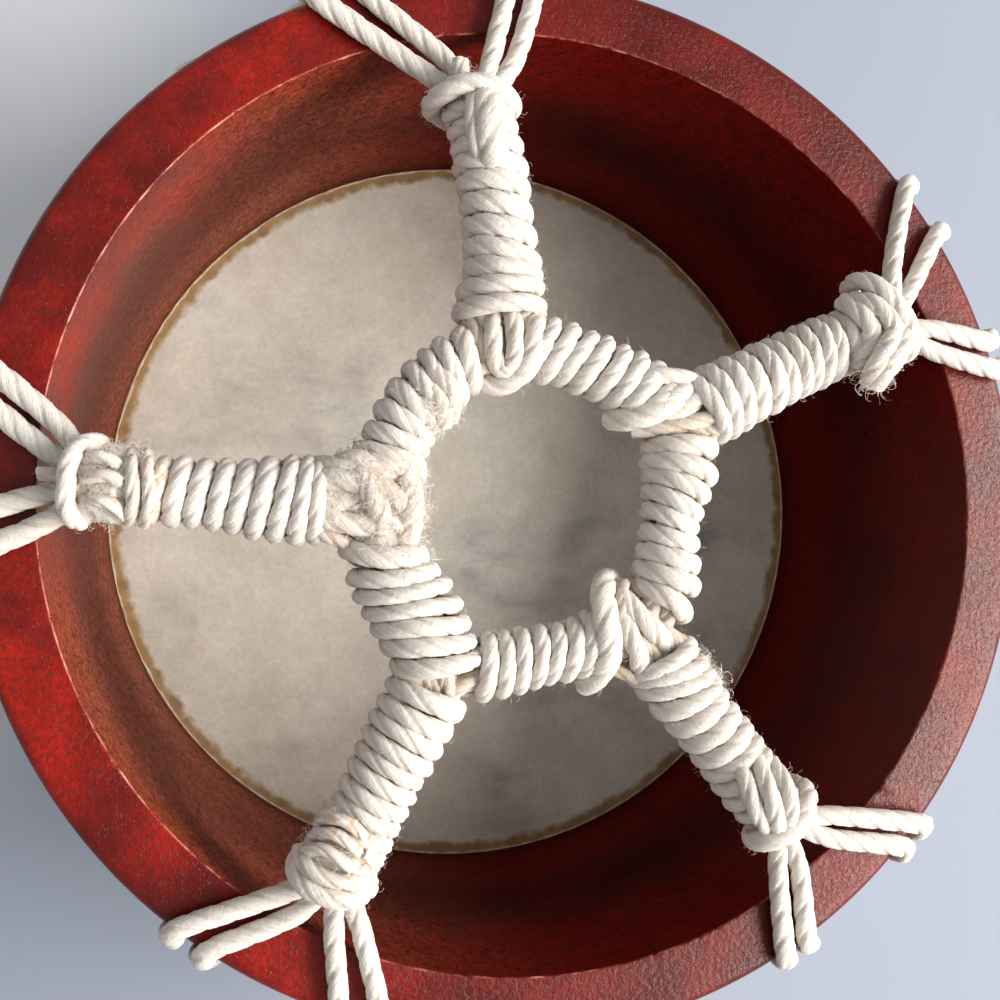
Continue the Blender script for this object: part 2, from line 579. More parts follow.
def red_stained_hardwood():
    """Turned hardwood, stained red and lacquered: fine open pores, cloudy stain, satin gloss."""
    material, node, shade, place = new_material("red_stained_lacquered_hardwood")
    axes, radius = from_the_axis(node, place)
    # Pores and fibres are 0.3 mm across, a little longer up the wall. Stain lies in clouds of about
    # 15 mm, with a 1 mm flicker over them; the bore's wash dried in blotches 2 mm across, and its
    # open pores, up to 0.5 mm wide, kept the first, dark stain.
    drawn = node("VectorMath", {0: place, 1: (1.0, 1.0, 0.45)}, "MULTIPLY")
    seen = patterns(node, (
        ("clouds", place, 55.0, 5.0, 0.38, 0.66), ("flicker", place, 900.0, 5.0, 0.36, 0.64),
        ("pore", drawn, 1900.0, 3.0, 0.56, 0.70), ("speck", drawn, 1900.0, 1.0, 0.66, 0.74),
        ("cloudy", place, 38.0, 6.0, 0.3, 0.7), ("blotch", place, 380.0, 6.0, 0.34, 0.66),
        ("pits", place, 1150.0, 2.0, 0.58, 0.64), ("broken", place, 330.0, 4.0, 0.40, 0.58)))
    darker, pitted, pit, dusty = (
        node("Math", {0: seen[name], 1: share}, "MULTIPLY")
        for name, share in (("flicker", 0.55), ("pore", 0.8), ("pits", 0.75), ("speck", 0.16)))
    # The edge is a brighter red on the left, where it was handled, and maroon round to the right.
    leftward = node("MapRange", {0: axes["X"], 1: 0.012, 2: -0.062}, interpolation_type="SMOOTHSTEP")
    maroon = node("Mix", {0: seen["clouds"], 6: "#4c0b05", 7: "#7a160b"})
    red = node("Mix", {0: seen["clouds"], 6: "#600f06", 7: "#a81e0c"})
    red = node("Mix", {0: leftward, 6: maroon, 7: red})
    for share, colour in ((darker, "#5b0b05"), (seen["pore"], "#330402")):
        red = node("Mix", {0: share, 6: red, 7: colour})
    # The bore was only washed with stain: browner, with a smoky band round its middle.
    height = node("MapRange", {0: axes["Z"], 1: 0.018, 2: 0.062, 3: -1.0})
    band = node("Math", {0: height, 1: 2.0}, "POWER")
    smoky = node("Math", {0: seen["cloudy"], 1: 0.55, 2: band}, "MULTIPLY_ADD", use_clamp=True)
    # Handling has left a brown haze on its left side; the right side kept its deep red.
    clear, hazy = (node("Mix", {0: smoky, 6: dark, 7: light})
                   for dark, light in (("#440400", "#800900"), ("#884838", "#a4614d")))
    upper = node("MapRange", {0: axes["Z"], 1: 0.050, 2: 0.078, 4: 0.75})
    hazy = node("Mix", {0: upper, 6: hazy, 7: "#a64a2c"})
    brown = node("Mix", {0: leftward, 6: clear, 7: hazy})
    brown = node("Mix", {0: darker, 6: brown, 7: "#451008"})
    blotch = node("MapRange", {0: seen["blotch"], 3: 0.72, 4: 1.18})
    brown = node("Mix", {0: 1.0, 6: brown, 7: blotch}, blend_type="MULTIPLY")
    for share, colour in ((pitted, "#2a0703"), (pit, "#2c0a05")):
        brown = node("Mix", {0: share, 6: brown, 7: colour})
    bore = node("MapRange", {0: radius, 1: 0.0881, 2: 0.0889, 3: 1.0, 4: 0.0})
    below = node("MapRange", {0: axes["Z"], 1: 0.0799, 2: 0.0795})
    inside = node("Math", {0: bore, 1: below}, "MULTIPLY")
    colour = node("Mix", {0: inside, 6: red, 7: brown})
    # Dust in a few pores, and stain rubbed off here and there along the inner arris.
    colour = node("Mix", {0: dusty, 6: colour, 7: "#c08274"})
    rub = node("Attribute", attribute_name="worn").outputs["Fac"]
    broken = node("Math", {0: seen["broken"], 1: rub}, "MULTIPLY")
    colour = node("Mix", {0: broken, 6: colour, 7: "#dc9a88"})
    # The lacquer is glossy on the edge, and the bore is nearly matt.
    gloss = node("MapRange", {0: seen["clouds"], 3: 0.29, 4: 0.37})
    gloss = node("Math", {0: inside, 1: 0.25, 2: gloss}, "MULTIPLY_ADD")
    shine = node("MapRange", {0: inside, 3: 0.45, 4: 0.10})
    relief = node("Math", {0: seen["pore"], 1: -0.8, 2: seen["flicker"]}, "MULTIPLY_ADD")
    bump = node("Bump", {"Strength": 0.6, "Distance": 0.0001, "Height": relief})
    shade({"Base Color": colour, "Roughness": gloss, "Specular IOR Level": shine, "Normal": bump, "IOR": 1.5})
    return material


def scraped_rawhide():
    """Scraped goat rawhide: cream with soft grey smudges, ochre where the glue soaked in."""
    material, node, shade, place = new_material("scraped_rawhide")
    radius = from_the_axis(node, place)[1]
    # Smudges run with the scraping, wisps 10 mm long gathered in patches of 40 mm; mottling is
    # 4 mm across and the grain under 1 mm.
    drawn = node("Mapping", {"Vector": place, "Rotation": (0.0, 0.0, 0.12), "Scale": (42.0, 110.0, 60.0)})
    seen = patterns(node, (
        ("wisps", drawn, 1.0, 7.0, 0.36, 0.70), ("patches", place, 26.0, 4.0, 0.46, 0.66),
        ("pale", place, 34.0, 4.0, 0.45, 0.68), ("mottle", place, 120.0, 5.0, 0.3, 0.7),
        ("grain", place, 900.0, 3.0, 0.3, 0.7), ("ragged", place, 240.0, 4.0, 0.2, 0.8)))
    smudge = node("Math", {0: seen["wisps"], 1: seen["patches"]}, "MULTIPLY")
    # The flap outside the hoop is plainer and a little warmer.
    flap = node("MapRange", {0: radius, 1: 0.0985, 2: 0.0995})
    strength = node("MapRange", {0: flap, 3: 0.7, 4: 0.22})
    smudge = node("Math", {0: smudge, 1: strength}, "MULTIPLY")
    colour = node("Mix", {0: seen["mottle"], 6: "#dddcd0", 7: "#ebeadf"})
    paler = node("Math", {0: seen["pale"], 1: 0.55}, "MULTIPLY")
    for share, tint in ((paler, "#f2f5ee"), (smudge, "#959da1")):
        colour = node("Mix", {0: share, 6: colour, 7: tint})
    warm = node("Mix", {0: 1.0, 6: colour, 7: "#f0e1c8"}, blend_type="MULTIPLY")
    colour = node("Mix", {0: flap, 6: colour, 7: warm})
    grained = node("MapRange", {0: seen["grain"], 3: 0.92, 4: 1.05})
    colour = node("Mix", {0: 1.0, 6: colour, 7: grained}, blend_type="MULTIPLY")
    # Glue soaked in for 2 mm from the bore, with a ragged edge.
    reach = node("Math", {0: seen["ragged"], 1: 0.0026, 2: radius}, "MULTIPLY_ADD")
    soaked = node("MapRange", {0: reach, 1: 0.0862, 2: 0.0876, 4: 0.9})
    within = node("MapRange", {0: radius, 1: 0.0895, 2: 0.0900, 3: 1.0, 4: 0.0})
    soaked = node("Math", {0: soaked, 1: within}, "MULTIPLY")
    ochre = node("Mix", {0: seen["ragged"], 6: "#c8a878", 7: "#93703f"})
    colour = node("Mix", {0: soaked, 6: colour, 7: ochre})
    relief = node("Math", {0: seen["grain"], 1: 0.3, 2: seen["mottle"]}, "MULTIPLY_ADD")
    bump = node("Bump", {"Strength": 0.35, "Distance": 0.0002, "Height": relief})
    shade({"Base Color": colour, "Normal": bump, "Roughness": 0.6, "IOR": 1.52, "Specular IOR Level": 0.35})
    return material


def dried_hide_glue():
    """A thin line of hide glue dried white in the corner."""
    material, node, shade, place = new_material("dried_hide_glue")
    tone = patterns(node, (("tone", place, 260.0, 4.0, 0.35, 0.7),))["tone"]
    colour = node("Mix", {0: tone, 6: "#b39c7c", 7: "#ddd2c0"})
    shade({"Base Color": colour, "Roughness": 0.5})
    return material


def pale_studio_floor():
    """Matt pale blue-grey studio paper."""
    material, node, shade, place = new_material("pale_studio_floor")
    tone = node("TexNoise", {"Vector": place, "Scale": 3.0})
    colour = node("Mix", {0: tone, 6: "#949cab", 7: "#99a1b0"})
    # The roll of paper is paler towards the left, where the drum shades it.
    across = node("SeparateXYZ", {0: place}).outputs
    left, upper = (node("MapRange", {0: across[axis], 1: none, 2: full}, interpolation_type="SMOOTHSTEP")
                   for axis, none, full in (("X", -0.02, -0.11), ("Y", -0.08, -0.01)))
    shaded = node("Math", {0: left, 1: upper}, "MULTIPLY")
    colour = node("Mix", {0: shaded, 6: colour, 7: "#d9dee7"})
    shade({"Base Color": colour, "Roughness": 0.9, "Specular IOR Level": 0.1})
    return material


# ---------------------------------------------------------------- hoop and head

def lathe(name, profile, steps, shift):
    """A closed (r, z) profile turned about Z; shift(angle, r, z) gives each vertex its final place."""
    mesh = bpy.data.meshes.new(name)
    points, faces = [], []
    count = len(profile)
    for turn in range(steps):
        points += [shift(360.0 * turn / steps, r, z) * MM for r, z in profile]
        here, there = turn * count, ((turn + 1) % steps) * count
        for k in range(count):
            after = (k + 1) % count
            faces.append((here + k, there + k, there + after, here + after))
    mesh.from_pydata(points, [], faces)
    shell = bmesh.new()
    shell.from_mesh(mesh)
    bmesh.ops.remove_doubles(shell, verts=shell.verts, dist=1e-7)
    bmesh.ops.dissolve_degenerate(shell, edges=shell.edges, dist=1e-7)
    bmesh.ops.recalc_face_normals(shell, faces=shell.faces)
    shell.to_mesh(mesh)
    shell.free()
    piece = bpy.data.objects.new(name, mesh)
    bpy.context.scene.collection.objects.link(piece)
    return piece


def dress(piece, material):
    """One material, shaded smooth, riding on the drum."""
    piece.data.materials.clear()
    piece.data.materials.append(material)
    for face in piece.data.polygons:
        face.use_smooth = True
    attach(piece, "root")


def arc(centre, radius, first, last, count):
    """Points (r, z) on an arc, angles in degrees."""
    steps = [math.radians(first + (last - first) * k / count) for k in range(count + 1)]
    return [(centre[0] + radius * math.cos(a), centre[1] + radius * math.sin(a)) for a in steps]


def ragged(angle, scale, seed):
    """Noise round the drum, the same at 0 and 360 degrees."""
    turn = math.radians(angle)
    return noise.noise(Vector((math.cos(turn) * scale, math.sin(turn) * scale, seed)))


def make_hoop():
    """The bent hoop: rounded outer arris, crisp inner arris worn to nicks."""
    profile = arc((HOOP_RADIUS - OUTER_ARRIS, RIM - OUTER_ARRIS), OUTER_ARRIS, 90, 0, 8)
    profile += [(HOOP_RADIUS, 8.0 + 8.0 * k) for k in range(8, 0, -1)]
    profile += arc((HOOP_RADIUS - BEARING_EDGE, BOTTOM + BEARING_EDGE), BEARING_EDGE, 0, -90, 6)
    profile += [(BORE, BOTTOM + 8.0 * k) for k in range(10)]
    profile += [(BORE, RIM - 1.6), (BORE, RIM - 0.7)]
    profile += arc((BORE + INNER_ARRIS, RIM - INNER_ARRIS), INNER_ARRIS, 180, 90, 3)
    profile += [(BORE + 0.7, RIM), (BORE + 4.0, RIM), (BORE + 7.0, RIM)]

    def shift(angle, r, z):
        """Nicks along the inner arris, and a bore that isn't quite true."""
        wear = ragged(angle, 60.0, 2.0) + 0.6 * ragged(angle, 150.0, 5.0)
        if abs(r - BORE) < 0.4 and z > RIM - 0.4:
            nick = max(wear - 0.35, 0.0) * 0.8
            r += nick
            z -= nick * 0.6
        if z < RIM - 1.0 and abs(r - BORE) < 0.1:
            r += 0.12 * ragged(angle, 4.0, z * 0.02)
        return around(angle, r, z)

    hoop = lathe("bent_wood_hoop", profile, 720, shift)
    worn = hoop.data.attributes.new("worn", "FLOAT", "POINT")
    values = []
    for vertex in hoop.data.vertices:
        x, y, z = vertex.co / MM
        angle = math.degrees(math.atan2(y, x))
        arris = around(angle, BORE, RIM)
        distance = math.hypot(math.hypot(x, y) - math.hypot(arris.x, arris.y), z - RIM)
        fade = max(0.0, 1.0 - distance / WORN_WIDTH)
        handled = 0.5 - 0.5 * math.cos(math.radians(angle + 10.0))
        patchy = 0.15 + 0.6 * handled + 0.9 * ragged(angle, 25.0, 9.0)
        values.append(min(max(fade * patchy * 1.6, 0.0), 1.0))
    worn.data.foreach_set("value", values)
    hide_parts("hoop")
    dress(hoop, red_stained_hardwood())


def make_head():
    """The wet-moulded skin: flat head, turned up the side, flap drawn to its lacing holes."""
    centre = (HOOP_RADIUS - BEARING_EDGE, BOTTOM + BEARING_EDGE)
    inner = BEARING_EDGE + GAP
    flat = (0.0, 20.0, 45.0, 65.0, 80.0)
    heights = [12.0, 19.0] + [FLARE_START + (FLARE_END - FLARE_START) * k / 5.0 for k in range(6)]
    heights += [41.0, 45.0, 49.0]

    def flared(z):
        """The inside of the skin: on the hoop below, clear of the lacing above."""
        share = min(max((z - FLARE_START) / (FLARE_END - FLARE_START), 0.0), 1.0)
        share = share * share * (3.0 - 2.0 * share)
        return HOOP_RADIUS + GAP + share * (FLAP_INSIDE - HOOP_RADIUS - GAP)

    profile = [(r, SKIN) for r in flat] + [(BORE, SKIN)]
    profile += arc(centre, inner, -90, 0, 6)
    profile += [(flared(z), z) for z in heights]
    profile += arc((FLAP_INSIDE + SKIN / 2.0, FLAP_HEIGHT - SKIN / 2.0), SKIN / 2.0, 180, 0, 6)
    profile += [(flared(z) + SKIN, z) for z in reversed(heights)]
    profile += arc(centre, inner + SKIN, 0, -90, 6)
    profile += [(r, 0.0) for r in reversed(flat)]
    holes = [row[0] for row in LACING]

    def shift(angle, r, z):
        """The flap's edge rises at each hole and is cut unevenly between them."""
        lifted = max((z - FLARE_END) / (FLAP_HEIGHT - FLARE_END), 0.0)
        if lifted > 0.0:
            pull = sum(math.exp(-((angle - hole + 180.0) % 360.0 - 180.0) ** 2 / 60.0) for hole in holes)
            z += lifted * (0.9 * pull - 1.3 + 1.2 * ragged(angle, 6.0, 3.0))
            r += lifted * 0.5 * ragged(angle, 9.0, 7.0)
        return around(angle, r, z)

    head = lathe("rawhide_head", profile, 288, shift)
    punches = [cut_hole(head, hole, number) for number, hole in enumerate(holes)]
    mesh = bpy.data.meshes.new_from_object(head.evaluated_get(bpy.context.evaluated_depsgraph_get()))
    head.modifiers.clear()
    head.data = mesh
    for punch in punches:
        bpy.data.objects.remove(punch, do_unlink=True)
    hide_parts("drumhead")
    dress(head, scraped_rawhide())
    mesh.set_sharp_from_angle(angle=math.radians(50.0))


def cut_hole(head, angle, number):
    """A punched hole through the flap."""
    bpy.ops.mesh.primitive_cylinder_add(vertices=24, radius=HOLE_RADIUS * MM, depth=6.0 * SKIN * MM)
    punch = bpy.context.active_object
    punch.name = f"hole_punch_{number}"
    punch.location = around(angle, FLAP_INSIDE + SKIN / 2.0, HOLE_HEIGHT) * MM
    punch.rotation_euler = (0.0, math.radians(90.0), math.radians(angle))
    cut = head.modifiers.new(punch.name, "BOOLEAN")
    cut.operation = "DIFFERENCE"
    cut.solver = "EXACT"
    cut.object = punch
    bpy.context.view_layer.update()
    return punch


def make_glue_line():
    """The uneven bead of glue where the skin meets the bore."""
    low = SKIN + 0.05
    profile = [(BORE - 0.5, low), (BORE - 0.3, low + 0.2), (BORE + 0.3, low + 0.45), (BORE + 0.3, low)]

    def shift(angle, r, z):
        """The bead spreads unevenly over the skin."""
        reach = 1.0 + 0.9 * ragged(angle, 30.0, 4.0) + 0.7 * ragged(angle, 110.0, 8.0)
        return around(angle, BORE + (r - BORE) * (reach if r < BORE else 1.0), z)

    dress(lathe("glue_line", profile, 480, shift), dried_hide_glue())


# ---------------------------------------------------------------- floor and light

def make_floor():
    """The paper that the drum lies on."""
    bpy.ops.mesh.primitive_plane_add(size=4.0)
    floor = bpy.context.active_object
    floor.name = "studio_floor"
    floor.data.materials.append(pale_studio_floor())


def set_light():
    """An even pale room and one large soft box at the right."""
    world = bpy.data.worlds.new("studio")
    world.use_nodes = True
    ground = world.node_tree.nodes["Background"]
    ground.inputs["Color"].default_value = srgb("#ebebea")
    ground.inputs["Strength"].default_value = 0.54
    bpy.context.scene.world = world
    light = bpy.data.lights.new("key_softbox", "AREA")
    light.shape = "RECTANGLE"
    light.size, light.size_y = 1.4, 0.6
    light.energy = 29.5
    light.color = srgb("#fff8f0")[:3]
    lamp = bpy.data.objects.new("key_softbox", light)
    lamp.location = (0.952, -0.237, 0.80)
    lamp.rotation_euler = (Vector((0.0, 0.0, 0.05)) - lamp.location).to_track_quat("-Z", "Y").to_euler()
    bpy.context.scene.collection.objects.link(lamp)
    bpy.context.scene.view_settings.view_transform = "Standard"
    bpy.context.scene.view_settings.look = "Medium High Contrast"


# ---------------------------------------------------------------- cords of the drum

def over_the_rim(angle):
    """Three places where a strand is pulled flat over the rounded outer edge."""
    radius = HOOP_RADIUS - OUTER_ARRIS
    height = RIM - OUTER_ARRIS
    bend = OUTER_ARRIS + 0.1 + PRESSED * CORD
    corner = bend * math.sqrt(0.5)
    return [around(angle, radius, height + bend), around(angle, radius + corner, height + corner),
            around(angle, radius + bend, height)]


def slanted(share):
    """How far a strand has moved sideways on its way down: little at first."""
    return share ** 1.35


def down_the_side(first, last, radii, heights, count):
    """Points between two places on the drum's side, both ends left out."""
    shares = [k / (count + 1.0) for k in range(1, count + 1)]
    return [around(first + (last - first) * slanted(k), radii[0] + (radii[1] - radii[0]) * k,
                   heights[0] + (heights[1] - heights[0]) * k) for k in shares]


# The strand in front of the flap falls back to the hoop: share of its way up, distance from the hoop.
SPRING_BACK = [(0.2, 5.2), (0.45, 3.4), (0.72, 2.1)]
STRAIGHT_DROP = 4.5


def lacing_route(row):
    """Knot, rim, down behind the flap, out through its hole, up and back over the rim."""
    hole, behind, behind_end, front, front_end = row
    lean = 0.9 if hole > behind else -0.9
    bend = (IN_FRONT_OF_FLAP - BEHIND_FLAP) / 2.0
    middle = (IN_FRONT_OF_FLAP + BEHIND_FLAP) / 2.0
    turn_height = HOLE_HEIGHT + bend
    corner = bend * math.sqrt(0.5)
    flap_top = FLAP_HEIGHT + 1.0
    held, held_at = HOOP_RADIUS + 0.1 + PRESSED * CORD, RIM - STRAIGHT_DROP
    points = [Vector((*behind_end, CORD_HEIGHT)), *over_the_rim(behind), around(behind, held, held_at)]
    points += down_the_side(behind, hole - lean, (held, BEHIND_FLAP), (held_at, turn_height), 4)
    points += [around(hole - lean, BEHIND_FLAP, turn_height),
               around(hole - lean / 3.0, middle - corner, turn_height - corner),
               around(hole, middle, HOLE_HEIGHT),
               around(hole + lean / 3.0, middle + corner, turn_height - corner),
               around(hole + lean, IN_FRONT_OF_FLAP, turn_height),
               around(hole + lean, IN_FRONT_OF_FLAP, flap_top)]
    for share, radius in SPRING_BACK:
        points.append(around(front + (hole + lean - front) * slanted(1.0 - share), HOOP_RADIUS + radius,
                             flap_top + (held_at - flap_top) * share))
    points += [around(front, held, held_at), *reversed(over_the_rim(front))]
    points.append(Vector((*front_end, CORD_HEIGHT)))
    return points


def make_lacing(number, row, leg):
    """One bight of the lacing cord, its two ends drawn on into the knot."""
    line = LINES[leg]
    route = lacing_route(row)
    ends = []
    for end in (route[0], route[-1]):
        point, along, _ = line.at(0.0)
        t = Vector((-along.y, along.x)).dot(end.xy - point)
        ends.append(line.place(6.0, t * 0.28, 0.0))
    strand = Strand()
    strand.go(ends[0], soil=0.1)
    for point in route:
        outside = max(point.xy.length - HOOP_RADIUS + OUTER_ARRIS, 0.0)
        above = max(point.z - RIM + OUTER_ARRIS, 0.0)
        out = Vector((*(point.xy.normalized() * outside), above + 0.01)).normalized()
        tight = 1.0 if outside and point.z > RIM - 3.0 * OUTER_ARRIS else 0.0
        strand.go(point, out, 1.0 + 0.15 * tight, 1.0 - (1.0 - PRESSED) * tight)
    strand.go(ends[1], soil=0.1)
    make_cord(f"lacing_loop_{number:02d}", [strand], 0.13, [f"lacing_{number:02d}"])


def core_strands(side):
    """The two lacing strands that run from one leg's core through a side into the next leg."""
    here, there, line = LINES[SIDES[side][0]], LINES[SIDES[side][1]], SIDE_LINES[side]
    strands = []
    for shift, rise in ((2.0, 1.2), (-2.0, 1.8)):
        strand = Strand()
        for route, s, t, h, soil in (
                (here, here.length - 4.0, -2.0 + shift * 0.5, rise, 0.45),
                (here, here.length + 1.0, -2.6 + shift * 0.8, rise + 0.6, 0.5),
                *((line, s, shift, rise, 0.5)
                  for s in (3.0, line.length * 0.35, line.length * 0.65, line.length - 3.0)),
                (there, there.length + 1.0, 2.6 - shift * 0.8, rise + 0.6, 0.5),
                (there, there.length - 4.0, 2.0 - shift * 0.5, rise, 0.45)):
            strand.go(route.place(s, t, h), soil=soil)
        strands.append(strand)
    return strands


# How uneven the cord is where it has felted.
FELTED = {"left": 0.62, "upper_left_end": 0.50, "lower_left": 0.40}

# Each knot's bands and the cord ends tucked under them: how wide, how soiled, how stained, then
# x, y and height. x and y are given at the level of the knots' tops, as seen from the viewpoint,
# and each place is moved along the line of sight to its own height.
KNOT_BANDS = {
    "top": [
        (0.98, 0.05, 0, [(-19, 66.6, -6), (-22.6, 68.4, -3.2), (-22.4, 70.2, 1.4), (-20.4, 72, 4.8),
            (-17.2, 73.8, 6.6), (-13.2, 74.4, 7.2), (-10.2, 73.4, 6.4), (-8.2, 71.4, 3.4),
            (-8.2, 69.8, -1.6), (-10.8, 68.6, -6)]),
    ],
    "left": [
        (0.84, 0.05, 0, [(-77.2, 6, -5), (-77, 8.4, -1), (-78.6, 8.8, 2.6), (-80.8, 8, 5.4),
            (-82.2, 5.4, 6.6), (-82.6, 2, 7), (-82.6, -1.2, 6.4), (-81.6, -3.4, 4.4), (-80.2, -3.8, 1),
            (-80.6, -2.6, -4.4)]),
    ],
    "lower_left": [
        (1.0, 0.05, 0, [(-41.6, -58.8, -5.6), (-45, -60.6, -2), (-45.4, -62.8, 2.6), (-44, -65.2, 5.4),
            (-41, -67.2, 6.4), (-37.2, -68.3, 6.4), (-34.4, -67.6, 4.4), (-33.2, -66, 0),
            (-34.8, -64.2, -5.6)]),
        (0.72, 0.05, 0.1, [(-44.8, -59.6, 0.4), (-44, -61.6, 4.6), (-42, -63.6, 6.4), (-38.8, -65, 6.9),
            (-35.6, -65.4, 6), (-33.4, -64.6, 3)]),
    ],
    "lower_right": [
        (1.15, 0.05, 0, [(44.4, -52.6, -5.6), (47.8, -53.6, -1.2), (48.9, -55.4, 3), (48.3, -58.4, 6),
            (46.4, -61.2, 6.8), (42.8, -62.8, 6.4), (39, -63.2, 4), (37.4, -62.4, -0.6),
            (39, -60.4, -5.8)]),
    ],
    "right": [
        (1.1, 0.05, 0, [(58.8, 38.6, -4), (58.8, 41.6, 0.6), (61.4, 42.6, 4.4), (65, 41.4, 6.6),
            (68.2, 38.6, 7.4), (70.6, 35.4, 7.4), (71.6, 32, 6.6), (71, 29.2, 3.6), (69.6, 28.4, -1.6)]),
        (1.0, 0.08, 0, [(59.4, 38.8, 3.4), (62.6, 38.6, 6.4), (65.6, 37, 7.6), (67.6, 34.4, 8),
            (68.2, 31.4, 7.6), (67.4, 28.6, 6.4)]),
    ],
}
TUCKED_ENDS = {
    "top": [
        (1.5, 0.05, 0.2, [(-12.4, 73.2, 5.6), (-12.2, 70.6, 7.8), (-11.9, 67.4, 8.6), (-11.6, 64.4, 8),
            (-11.4, 62, 6.2), (-11.3, 60.4, 4.2)]),
        (0.8, 0.1, 0, [(-15, 71.6, 6.2), (-15.2, 68.4, 7), (-15, 65.4, 6.9), (-14.4, 62.8, 6),
            (-13, 60.6, 4.2)]),
        (0.8, 0.1, 0, [(-16.4, 73.6, 3.6), (-17.2, 75.6, 4.2), (-17.5, 78, 4)]),
    ],
    "left": [
        (0.56, 0.05, 0.2, [(-80.2, 5.4, 3.6), (-78.4, 6.4, 6), (-76.4, 6.2, 6.5), (-74.8, 5.2, 5.6),
            (-73.8, 4.4, 3.4)]),
        (0.6, 0.05, 0.3, [(-80, 2.4, 4.4), (-78.4, 3.4, 7), (-76.2, 3.5, 7.4), (-74.4, 2.6, 6.6),
            (-73.2, 1.8, 4.2)]),
        (0.54, 0.1, 0.4, [(-80.2, -0.2, 4), (-78.4, -0.4, 6.7), (-76.2, -0.9, 6.9), (-74.6, -1.8, 5.8),
            (-73.4, -2.6, 3.2)]),
        (0.66, 0.1, 0.7, [(-72.8, 6.6, 1.6), (-72.5, 4.9, 5.4), (-72.2, 2.2, 6.8), (-72.2, -0.4, 6.3),
            (-72.5, -2.4, 4.4), (-72.8, -3.4, 1.4)]),
        (0.62, 0.1, 0.8, [(-70.3, 6.4, 1.6), (-70, 4.6, 5.4), (-69.7, 1.8, 6.7), (-69.7, -0.8, 6),
            (-70, -2.8, 4), (-70.3, -3.8, 1.2)]),
        (0.6, 0.3, 0, [(-83.6, 3.4, 2.6), (-85.2, 3.6, 3), (-86.6, 3.6, 2.8)]),
    ],
    "lower_left": [
        (0.58, 0.05, 0.5, [(-44, -60.4, 2.4), (-42.2, -59.4, 5.8), (-39.6, -60.2, 7.2), (-37.6, -61.8, 7),
            (-35.8, -63.4, 4.6)]),
        (0.56, 0.05, 0.8, [(-40.8, -54.8, 3.2), (-38.8, -54.6, 6.4), (-36.4, -55.6, 7), (-34.4, -57.4, 5.8),
            (-33.4, -59, 2.8)]),
        (0.58, 0.05, 0.8, [(-42.2, -57.4, 2.6), (-40.2, -56.8, 6), (-37.8, -57.8, 7.2), (-35.8, -59.6, 6.6),
            (-34.4, -61.2, 3.6)]),
        (0.7, 0.05, 0.2, [(-34.4, -60.4, 5.4), (-33, -61.6, 4.4), (-32.8, -62.8, 1)]),
    ],
    "lower_right": [
        (0.9, 0.05, 0.1, [(35, -48.6, 4.2), (36.2, -51.4, 6.4), (37.4, -54.8, 7.4), (38.8, -58.2, 7.2),
            (40.6, -60.8, 5.4)]),
        (0.95, 0.05, 0, [(38.4, -48.2, 4.6), (39.8, -51.2, 7), (41.2, -54.6, 8.6), (42.2, -58, 8.6),
            (42.8, -60.8, 6.4)]),
        (0.9, 0.05, 0, [(41.4, -48.8, 3), (43.4, -51.6, 5.8), (44.9, -54.8, 7.4), (45.3, -57.8, 7.6),
            (44.8, -60.4, 6.2)]),
    ],
    "right": [
        (1.3, 0.05, 0.1, [(70.8, 33.6, 6), (69.8, 30.2, 7.8), (67.6, 27, 7.6), (65.4, 24.4, 6.2),
            (63.8, 22.4, 4.2)]),
        (1.05, 0.05, 0.3, [(68.4, 34, 7.2), (66.8, 30.6, 8.5), (64.8, 27.6, 8), (63.4, 25.2, 6.4),
            (62.4, 23.2, 4.4)]),
        (1.05, 0.05, 0.1, [(57, 38.4, 2.4), (60.2, 36.8, 5.8), (62.8, 34.2, 6.8), (63.2, 31.4, 6.4),
            (61.8, 28.6, 5.4), (60, 26.4, 3.4)]),
    ],
}
